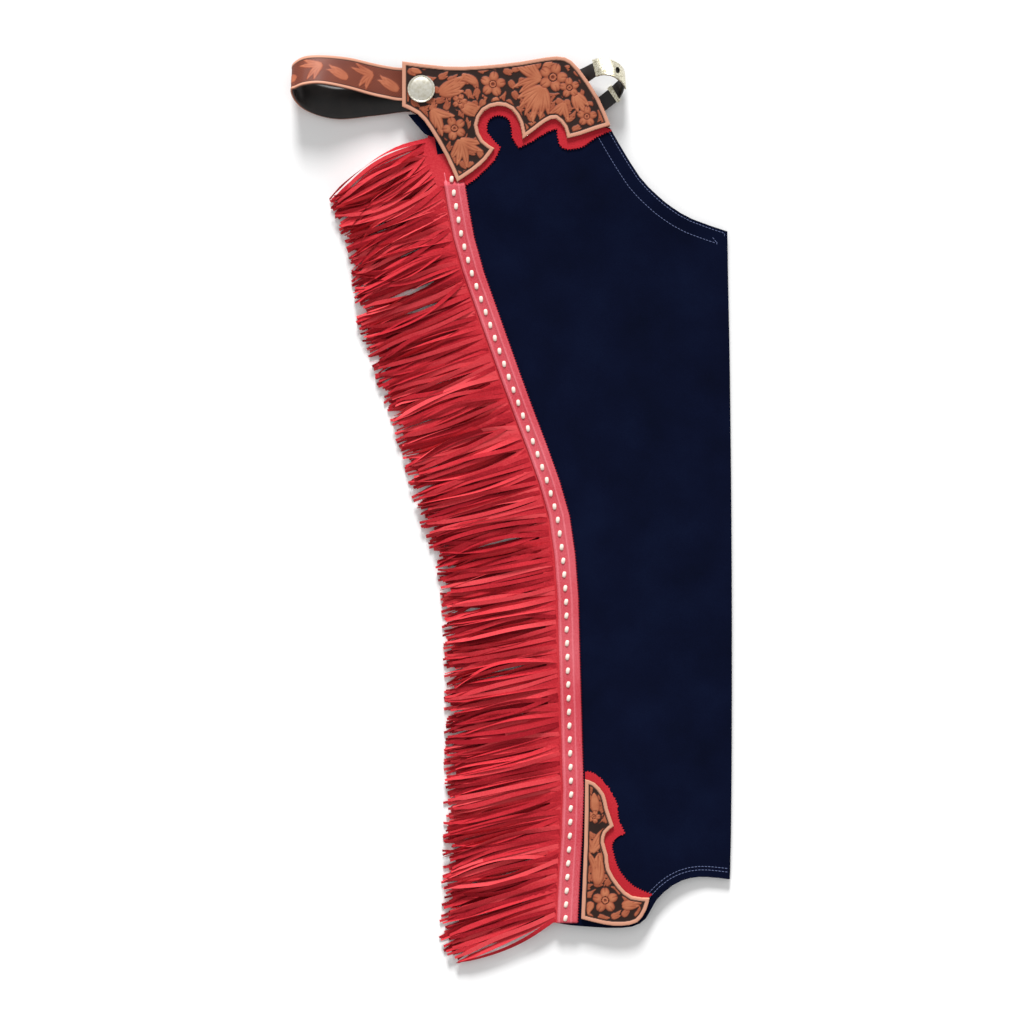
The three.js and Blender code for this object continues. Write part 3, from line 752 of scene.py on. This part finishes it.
class ChapsSizes(bpy.types.PropertyGroup):
    """The sizes that a maker would change."""

    rim_width: length("Rim", "Plain rim round the carving", 4.4)
    carve_depth: length("Carving", "Depth of the carving", 0.9)
    yoke_thickness: length("Yoke hide", "Hide of yokes", 3)
    carve_cell: length("Carving grid", "Fineness of carving", 0.8)
    strand_width: length("Strand", "Width of a strand", 5.2)
    strand_pitch: length("Strand pitch", "Strands' pitch", 3.5)
    strand_hide: length("Strand hide", "Fringe hide", 1.3)
    band_width: length("Uncut band", "Band left of the seam", 24)
    trim_right: length("Trim right", "Seam to trim's edge", 14)
    pink_pitch: length("Pinking", "Pitch of pinked teeth", 3.2)
    pink_depth: length("Tooth", "Depth of pinked teeth", 1.6)
    lace_pitch: length("Lace pitch", "Pitch of the lacing", 15.8)
    lace_length: length("Lace stitch", "Length of a stitch", 7)
    lace_width: length("Lace width", "Width of the lace", 4.8)
    stitch_length: length("Stitch", "Length of a stitch", 3)
    crotch_inset: length("Crotch seam", "Inner stitch line", 17)
    hem_inset: length("Hem seam", "Inner hem line", 12)


# ---- Operators ----
class CHAPS_OT_stage(bpy.types.Operator):
    """Lays the white floor, the soft lights and the camera straight above."""

    bl_idname = "chaps.stage"
    bl_label = "Stage"

    def execute(self, context):
        scene = context.scene
        scene.view_settings.view_transform = "Standard"
        half_floor = 6.0
        mesh = bpy.data.meshes.new("floor")
        corners = [(x * half_floor, y * half_floor, -0.2 * MM) for x, y in ((-1, -1), (1, -1), (1, 1), (-1, 1))]
        mesh.from_pydata(corners, [], [(0, 1, 2, 3)])
        floor = bpy.data.objects.new("floor", mesh)
        scene.collection.objects.link(floor)
        mesh.materials.append(finish_named("paper"))
        world = bpy.data.worlds.new("soft_white")
        world.use_nodes = True
        sky = world.node_tree.nodes["Background"]
        sky.inputs["Color"].default_value = (*WHITE, 1.0)
        sky.inputs["Strength"].default_value = 0.62
        scene.world = world
        sun = bpy.data.lights.new("window", "SUN")
        sun.energy = 4.3
        sun.angle = math.radians(16)
        lamp = bpy.data.objects.new("window", sun)
        lamp.rotation_euler = Vector((-0.12, 2.1, 1.0)).to_track_quat("Z", "Y").to_euler()
        scene.collection.objects.link(lamp)
        camera = bpy.data.cameras.new("above")
        camera.lens = 120
        camera.sensor_width = 36
        seen = 1.1776
        eye = bpy.data.objects.new("above", camera)
        eye.location = (0, 0, seen * camera.lens / camera.sensor_width + 0.01)
        scene.collection.objects.link(eye)
        scene.camera = eye
        return {"FINISHED"}


class CHAPS_OT_legs(bpy.types.Operator):
    """Lays the suede leg panels, with their soft creases and seams."""

    bl_idname = "chaps.legs"
    bl_label = "Leg panels"

    def execute(self, context):
        sizes = context.scene.chaps_sizes
        for leg, side in SIDES:
            node = f"leg_panel_{leg}"
            work = node_mesh(node)
            bmesh.ops.subdivide_edges(work, edges=work.edges, cuts=3, use_grid_fill=True)
            bmesh.ops.triangulate(work, faces=work.faces)
            for vert in work.verts:
                x, y = vert.co.x, vert.co.y
                calm = min(max((x - 0.09) / 0.05, 0), 1) * min(max((0.30 - y) / 0.08, 0), 1)
                calm *= min(max((y + 0.40) / 0.1, 0), 1)
                wave = 0.5 + 0.5 * math.sin(y / 0.072 + 2.2 * math.sin(x / 0.09) + x / 0.03)
                slow = 0.5 + 0.5 * math.sin(y / 0.19 + 1.3 + x / 0.11)
                vert.co.z += (1.1 * wave + 1.4 * slow) * MM * calm * (1 if side > 0 else 0.25)
            points = [tuple(v.co) for v in work.verts]
            faces = [tuple(v.index for v in f.verts) for f in work.faces]
            work.free()
            panel = new_piece(f"leg_{leg}", points, faces, "navy_suede", (node,))
            panel.data.set_sharp_from_angle(angle=math.radians(40))
            self.seams(panel, node, leg, side, sizes)
        return {"FINISHED"}

    def seams(self, panel, node, leg, side, sizes):
        """Stitches two lines along the crotch and two along the arch of the hem."""
        outline = node_outline(node, side)
        if side < 0:
            outline = outline[::-1]
        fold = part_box(node)[1][0] - 4 * MM
        crotch = [p for p in outline if p[1] > 0.31 and p[0] > 0.112 and p[0] < fold]
        hem = [p for p in outline if p[1] < -0.4 and 0.15 < p[0] < fold]
        work = bmesh.new()
        work.from_mesh(panel.data)
        tree = BVHTree.FromBMesh(work)
        work.free()
        points = []
        faces = []
        for run, sign, insets in (
            (sorted(crotch, key=lambda p: p[0]), -1, (3.2 * MM, sizes.crotch_inset)),
            (sorted(hem, key=lambda p: p[0]), 1, (sizes.hem_inset - 4 * MM, sizes.hem_inset)),
        ):
            smooth, _ = spaced(run, 5 * MM)
            for inset in insets:
                path = offset_path(smooth, sign * inset)
                path = path[path[:, 0] < fold]
                places, headings = spaced(path, sizes.stitch_length + 0.9 * MM)
                bead_rows(
                    places, headings, tree, side, sizes.stitch_length, 0.9 * MM, 0.5 * MM, points, faces, 4
                )
        thread = new_piece(f"leg_stitches_{leg}", points, faces, "blue_thread")


class CHAPS_OT_yokes(bpy.types.Operator):
    """Carves the yokes and heel plates and lays the pinked red underlays beneath them."""

    bl_idname = "chaps.yokes"
    bl_label = "Yokes and heel plates"

    def execute(self, context):
        sizes = context.scene.chaps_sizes
        for leg, side in SIDES:
            cell = sizes.carve_cell * (1 if side > 0 else 1.4)
            carved_plate(f"carved_yoke_{leg}", f"yoke_{leg}", side, cell, YOKE_FLOWERS, YOKE_FANS)
            carved_plate(f"carved_heel_{leg}", f"heel_plate_{leg}", side, cell, HEEL_FLOWERS, HEEL_FANS)
            underlay(f"pinked_yoke_underlay_{leg}", f"yoke_underlay_{leg}", side, f"yoke_{leg}")
            underlay(f"pinked_heel_underlay_{leg}", f"heel_underlay_{leg}", side, f"heel_plate_{leg}")
        return {"FINISHED"}


class CHAPS_OT_trims(bpy.types.Operator):
    """Lays the ridged red trim down the side seam, with its lacing and pinked edge."""

    bl_idname = "chaps.trims"
    bl_label = "Laced trims"

    def execute(self, context):
        sizes = context.scene.chaps_sizes
        path = seam_path(2 * MM)
        across = np.array([
            -9.5, -9.0, -8.2, -7.0, -5.8, -5.2, -4, -2, 0, 2, 4, 4.9, 5.6, 6.6, 7.6, 8.3, 10, 12, 13.9,
        ])
        ridges = 1.3 * np.exp(-(((across + 7) / 1.1) ** 2)) + 1.0 * np.exp(-(((across - 6.6) / 1.0) ** 2))
        channel = -0.25 * (np.abs(across) < 4.5)
        for leg, side in SIDES:
            node = f"fringe_trim_{leg}"
            tree = node_tree(node)
            front = []
            back = []
            for x, y in path:
                tucked = min(max((y / MM - 376) / 5, 0), 1) * 3.6 * MM
                base = height_at(tree, x, y, side) - side * tucked
                for offset, lift in zip(across, ridges + channel):
                    lift = max(lift, -0.2) if side > 0 else min(lift, 0) * 0.5
                    front.append((x + offset * MM, y, base + side * lift * MM))
                    back.append((x + offset * MM, y, base - side * 1.4 * MM))
            points = front + back
            faces = closed_grid(len(path), len(across))
            edge = path + np.array([13.8 * MM, 0])
            pinked_teeth(
                edge[::-1], lambda px, py: height_at(tree, px, py, side) - side * 1.3 * MM,
                lambda px, py: height_at(tree, px, py, side) - side * 0.1 * MM,
                sizes.pink_pitch, sizes.pink_depth, points, faces,
            )
            trim = new_piece(f"laced_trim_{leg}", points, faces, "trim_suede", (node,))
            tone = np.full(len(points), 0.78)
            # Lighter in tone on the raised ridges: a painted highlight along them.
            tone[: len(front)] = np.tile(0.62 + 0.25 * np.clip(ridges, 0, 1), len(path))
            tone[2 * len(front) :] = 0.2
            set_attribute(trim, "tone", tone)
            places, headings = spaced(path, sizes.lace_pitch)
            points = []
            faces = []
            rise = 1.6 * MM if side > 0 else 0.3 * MM
            bead_rows(
                places, headings - 0.25, tree, side, sizes.lace_length, sizes.lace_width, rise, points, faces, 8
            )
            lace = new_piece(f"lacing_{leg}", points, faces, "ivory_lace")
        return {"FINISHED"}


class CHAPS_OT_fringes(bpy.types.Operator):
    """Cuts the fringe: an uncut band and many strands that fall across each other."""

    bl_idname = "chaps.fringes"
    bl_label = "Fringes"

    def execute(self, context):
        sizes = context.scene.chaps_sizes
        for leg, side in SIDES:
            rng = np.random.default_rng(11 if side > 0 else 12)
            node = f"fringe_{leg}"
            outline = node_outline(node, side)
            path = seam_path(2 * MM)
            top = np.array([[-0.097, 0.430], [-0.096, 0.413], [-0.090, 0.398], [-0.084, 0.385]])
            seam_roots = path - np.array([sizes.trim_right - 2 * MM, 0])
            roots_line = np.vstack([top, seam_roots[seam_roots[:, 1] < top[-1, 1] - 4 * MM]])
            points = []
            faces = []
            tones = []
            for layer, pitch in ((0, sizes.strand_pitch), (1, sizes.strand_pitch * 1.6)):
                places, _ = spaced(roots_line, pitch)
                for place in places:
                    self.strand(place, outline, side, layer, rng, sizes, points, faces, tones)
            self.band(path, side, sizes, points, faces, tones)
            self.flank(side, points, faces, tones)
            fringe = new_piece(f"cut_fringe_{leg}", points, faces, "red_suede", (node,), smooth=False)
            set_attribute(fringe, "tone", tones)
        return {"FINISHED"}

    def reach(self, start, direction, outline):
        """How far it is from a root to the left edge of the fringe."""
        best = 0.14
        for a, b in zip(outline, np.roll(outline, -1, axis=0)):
            span = b - a
            cross = direction[0] * span[1] - direction[1] * span[0]
            if abs(cross) < 1e-12:
                continue
            gap = a - start
            run = (gap[0] * span[1] - gap[1] * span[0]) / cross
            part = (gap[0] * direction[1] - gap[1] * direction[0]) / cross
            if 0 <= part <= 1 and run > 0.09:
                best = run
        return min(best, 0.165)

    def strand(self, root, outline, side, layer, rng, sizes, points, faces, tones):
        """Adds one strand, a thin ribbon that bends, rolls and tapers at its cut end."""
        y = root[1] / MM
        lively = float(np.clip((y - 200) / 150, 0, 1))
        stray = rng.normal(0, 2.5 + 3 * lively) * (1 if y < 415 else 0.4)
        angle = math.radians(180 + table_value(STRAND_ANGLES, "angle", y) + stray)
        direction = np.array([math.cos(angle), math.sin(angle)])
        length = self.reach(root, direction, outline) * rng.uniform(0.9, 1.02)
        bow = rng.normal(0, 5 + 2 * lively) * MM
        wave = rng.normal(0, 1.6 + 1.6 * lively) * MM
        phase = rng.uniform(0, 6.28)
        roll = rng.normal(0, 0.35 + 0.25 * lively)
        rolls = rng.normal(0, 0.7 + 0.5 * lively)
        crest = rng.uniform(1.5, 7.5) + 2.5 * layer + 3 * lively
        width = sizes.strand_width * rng.uniform(0.85, 1.1)
        steps = 15
        start = len(points)
        side_way = np.array([-direction[1], direction[0]])
        for i in range(steps + 1):
            t = i / steps
            flat = root + direction * length * t
            flat = flat + side_way * (bow * math.sin(math.pi * t) + wave * math.sin(7 * t + phase) * t)
            flat[1] -= 2 * MM * lively * math.sin(math.pi * t)
            low = 4.9 * (1 - t) + 4.4 * t
            if side > 0:
                z = (12.2 * (1 - min(t * 4, 1)) + (low + crest * (1 - 0.6 * t)) * min(t * 4, 1)) * MM
                z += 0.8 * MM * math.sin(9 * t + phase) * t
            else:
                z = (2.4 * (1 - min(t * 4, 1)) + (0.9 + 0.35 * crest * (1 - 0.6 * t)) * min(t * 4, 1)) * MM
            tilt = (roll + rolls * t) * min(t * 3, 1) * (1 if side > 0 else 0.15)
            half = width / 2 * (1 if t < 0.93 else 0.55)
            hide = sizes.strand_hide / 2
            tangent_side = side_way * math.cos(tilt)
            for across, thick in ((-1, -1), (1, -1), (1, 1), (-1, 1)):
                place = flat + tangent_side * across * half
                lift = z + across * half * math.sin(tilt) + thick * hide * math.cos(tilt)
                points.append((place[0], place[1], max(lift, 0.2 * MM + (thick > 0) * hide)))
        tones.extend([float(np.clip(rng.normal(0.5, 0.2), 0, 1))] * (4 * (steps + 1)))
        for i in range(steps):
            for k in range(4):
                a = start + 4 * i + k
                b = start + 4 * i + (k + 1) % 4
                faces.append((a, b, b + 4, a + 4))
        faces.append((start, start + 1, start + 2, start + 3))
        end = start + 4 * steps
        faces.append((end + 3, end + 2, end + 1, end))

    def band(self, path, side, sizes, points, faces, tones):
        """Adds the uncut band between the trim and the slits."""
        offsets = np.linspace(-2, -sizes.band_width / MM, 8)
        start = len(points)
        front = []
        back = []
        for x, y in path:
            for offset in offsets:
                part = min(max((-offset - 8) / 16, 0), 1)
                z = (12.75 - 1.0 * part) * MM if side > 0 else (1.8 + 0.4 * part) * MM
                front.append((x + offset * MM, y, z))
                back.append((x + offset * MM, y, z - side * 1.3 * MM if side > 0 else z + 1.3 * MM))
        points.extend(front + back)
        tones.extend([0.6] * (2 * len(front)))
        faces.extend(closed_grid(len(path), len(offsets), start))

    def flank(self, side, points, faces, tones):
        """Adds the part of the band that runs up beside the yoke and under its edge."""
        start = len(points)
        front = []
        back = []
        rows = np.linspace(0, 1, 15)
        columns = np.linspace(0, 1, 6)
        top_y, drop = 436, 62
        top_x, lean = -86, 31
        narrow, widening = 9, 22
        level = 13.3 * MM if side > 0 else 2.4 * MM
        for down in rows:
            y = (top_y - drop * down) * MM
            right = (top_x + lean * down) * MM
            left = right - (narrow + widening * math.sin(math.pi / 2 * min(down * 1.6, 1))) * MM
            for part in columns:
                x = left + (right - left) * part
                front.append((x, y, level))
                back.append((x, y, level - 1.2 * MM))
        points.extend(front + back)
        tones.extend([0.6] * (2 * len(front)))
        faces.extend(closed_grid(len(rows), len(columns), start))


def curve_through(values, count):
    """Smooth places through rows of numbers, with the rows evenly spaced along it."""
    rows = np.asarray(values, dtype=float)
    out = []
    last = len(rows) - 1
    for step in range(count):
        t = step / (count - 1) * last
        i = min(int(t), last - 1)
        f = t - i
        p1, p2 = rows[i], rows[i + 1]
        p0 = rows[i - 1] if i > 0 else 2 * p1 - p2
        p3 = rows[i + 2] if i + 2 <= last else 2 * p2 - p1
        out.append(0.5 * (2 * p1 + (p2 - p0) * f + (2 * p0 - 5 * p1 + 4 * p2 - p3) * f**2
                          + (3 * p1 - p0 - 3 * p2 + p3) * f**3))
    return np.array(out)


class CHAPS_OT_belt(bpy.types.Operator):
    """Bends the carved back belt and its black lining into their loop."""

    bl_idname = "chaps.belt"
    bl_label = "Back belt"

    def execute(self, context):
        far = []
        near = []
        for row in BELT_PATH:
            rise = math.sqrt(max(BELT_WIDTH**2 - (row["far"] - row["near"]) ** 2, 0))
            far.append((row["x"], row["far"], row["z"]))
            near.append((row["x"], row["near"], row["z"] + rise))
        count = 420
        far = curve_through(far, count) * MM
        near = curve_through(near, count) * MM
        ahead = np.gradient(far, axis=0) + np.gradient(near, axis=0)
        across = near - far
        across /= np.linalg.norm(across, axis=1)[:, None]
        out = np.cross(ahead, across)
        out /= np.linalg.norm(out, axis=1)[:, None]
        run = np.concatenate([[0], np.cumsum(np.linalg.norm(np.diff((far + near) / 2, axis=0), axis=1))]) / MM
        self.skin("carved_belt", "belt", far, near, out, run, 1.75, -0.45, True)
        self.skin("belt_lining_skin", "belt_lining", far, near, out, run, -0.75, -1.75, False)
        return {"FINISHED"}

    def skin(self, name, node, far, near, out, run, high, low, carved):
        """Adds one hide of the belt between two levels, carved on its outside or plain."""
        parts = np.linspace(0, 1, 45 if carved else 9)
        u, v = np.meshgrid(run, parts * BELT_WIDTH, indexing="ij")
        edge = np.minimum(v, BELT_WIDTH - v)
        if carved:
            fans = []
            for i in range(12):
                flip = 1 if i % 2 else -1
                fans.append({
                    "x": 8 + 30 * i, "y": BELT_WIDTH / 2 + 7 * flip, "angle": -24 * flip, "spread": 64,
                    "count": 4, "length": 27, "width": 8, "bend": 0.3 * flip,
                })
            height = carving(u, v, (), fans) * np.clip((edge - 4.2) / 0.8, 0, 1)
            basket = 0.3 + 0.18 * np.sin(u * 1.9) * np.sin(v * 1.9)
            height = np.where(height > 0, height * 0.85, basket * (edge > 4.2))
        else:
            height = np.full_like(u, 0.6)
        rim = np.clip((3.2 - edge) / 0.5, 0, 1) if carved else np.zeros_like(u)
        lift = np.maximum(height, rim)
        front = []
        back = []
        for i in range(len(run)):
            for j, part in enumerate(parts):
                place = far[i] * (1 - part) + near[i] * part
                front.append(place + out[i] * (high - (0.6 * (1 - lift[i, j]) if carved else 0)) * MM)
                back.append(place + out[i] * low * MM)
        faces = closed_grid(len(run), len(parts))
        finish = "tooled_leather" if carved else "black_leather"
        piece = new_piece(name, front + back, faces, finish, (node,))
        if carved:
            # The finish colours by this carving height: antique in the cuts, painted shade on the leaf sides, a
            # painted highlight on the crowns.
            set_attribute(piece, "carve", np.concatenate([height.ravel(), np.full(height.size, 0.3)]))
            set_attribute(piece, "rim", np.concatenate([rim.ravel(), np.zeros(height.size)]))


class CHAPS_OT_fittings(bpy.types.Operator):
    """Sets the silver conchos, and dresses the front strap, its buckle and its keeper."""

    bl_idname = "chaps.fittings"
    bl_label = "Fittings and front strap"

    def execute(self, context):
        for leg, side in SIDES:
            self.concho(leg, side)
        for node, finish in (("buckle", "silver"), ("strap_keeper", "silver"), ("front_strap", "black_leather")):
            work = node_mesh(node)
            sharp = [e for e in work.edges if len(e.link_faces) == 2 and e.calc_face_angle(0) > math.radians(50)]
            bmesh.ops.bevel(work, geom=sharp, offset=0.35 * MM, segments=2, affect="EDGES", profile=0.6)
            points = [tuple(v.co) for v in work.verts]
            faces = [tuple(v.index for v in f.verts) for f in work.faces]
            work.free()
            piece = new_piece(f"{node}_finished", points, faces, finish, (node,))
            piece.data.set_sharp_from_angle(angle=math.radians(35))
        return {"FINISHED"}

    def concho(self, leg, side):
        """Turns a domed concho with a rope edge and a ring of stamped petals."""
        node = f"concho_{leg}"
        low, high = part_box(node)
        x = (low[0] + high[0]) / 2
        y = (low[1] + high[1]) / 2
        base = low[2] if side > 0 else high[2]
        radius = (high[0] - low[0]) / 2
        radii = np.linspace(0, 1, 34)
        turns = 96
        points = [(x, y, base + side * 3.45 * MM)]
        for part in radii[1:]:
            for i in range(turns):
                turn = 2 * math.pi * i / turns
                dome = 3.0 * math.sqrt(max(1 - (part / 0.92) ** 2, 0)) if part < 0.86 else 1.5
                rope = 0.18 * math.cos(24 * turn + 20 * part) if part > 0.88 else 0
                petals = 0.08 * max(math.cos(8 * turn), 0) * math.exp(-(((part - 0.5) / 0.22) ** 2))
                ring = -0.3 * math.exp(-(((part - 0.84) / 0.03) ** 2))
                lift = max(0.45 + dome + rope + petals + ring, 0.3) if part < 0.985 else 0.6
                points.append((
                    x + radius * part * math.cos(turn), y + radius * part * math.sin(turn),
                    base + side * min(lift, 3.5) * MM,
                ))
        rings = len(radii) - 1
        last = 1 + (rings - 1) * turns
        for i in range(turns):
            turn = 2 * math.pi * i / turns
            points.append((x + radius * math.cos(turn), y + radius * math.sin(turn), base))
        faces = [(0, 1 + i, 1 + (i + 1) % turns) for i in range(turns)]
        for ring in range(rings):
            for i in range(turns):
                a = 1 + ring * turns + i
                b = 1 + ring * turns + (i + 1) % turns
                faces.append((a, b, b + turns, a + turns))
        faces.append(tuple(last + turns + i for i in range(turns)))
        piece = new_piece(f"silver_concho_{leg}", points, faces, "polished_silver", (node,))
        piece.data.set_sharp_from_angle(angle=math.radians(60))


STEPS = (
    CHAPS_OT_stage, CHAPS_OT_legs, CHAPS_OT_yokes, CHAPS_OT_trims, CHAPS_OT_fringes, CHAPS_OT_belt,
    CHAPS_OT_fittings,
)


class CHAPS_PT_panel(bpy.types.Panel):
    """Lists the steps that build the chaps."""

    bl_idname = "CHAPS_PT_panel"
    bl_label = "Western Fringed Chaps"
    bl_space_type = "VIEW_3D"
    bl_region_type = "UI"
    bl_category = "Chaps"

    def draw(self, context):
        for step in STEPS:
            self.layout.operator(step.bl_idname)


CLASSES = (ChapsSizes, ChapsColours, *STEPS, CHAPS_PT_panel)


def register():
    """Registers the classes and the settings."""
    for item in CLASSES:
        bpy.utils.register_class(item)
    bpy.types.Scene.chaps_sizes = PointerProperty(type=ChapsSizes)
    bpy.types.Scene.chaps_colours = PointerProperty(type=ChapsColours)


def unregister():
    """Removes the settings and the classes."""
    del bpy.types.Scene.chaps_colours
    del bpy.types.Scene.chaps_sizes
    for item in reversed(CLASSES):
        bpy.utils.unregister_class(item)


def main():
    """Builds every piece in order."""
    register()
    bpy.ops.chaps.stage()
    bpy.ops.chaps.legs()
    bpy.ops.chaps.yokes()
    bpy.ops.chaps.trims()
    bpy.ops.chaps.fringes()
    bpy.ops.chaps.belt()
    bpy.ops.chaps.fittings()


if __name__ == "__main__":
    main()
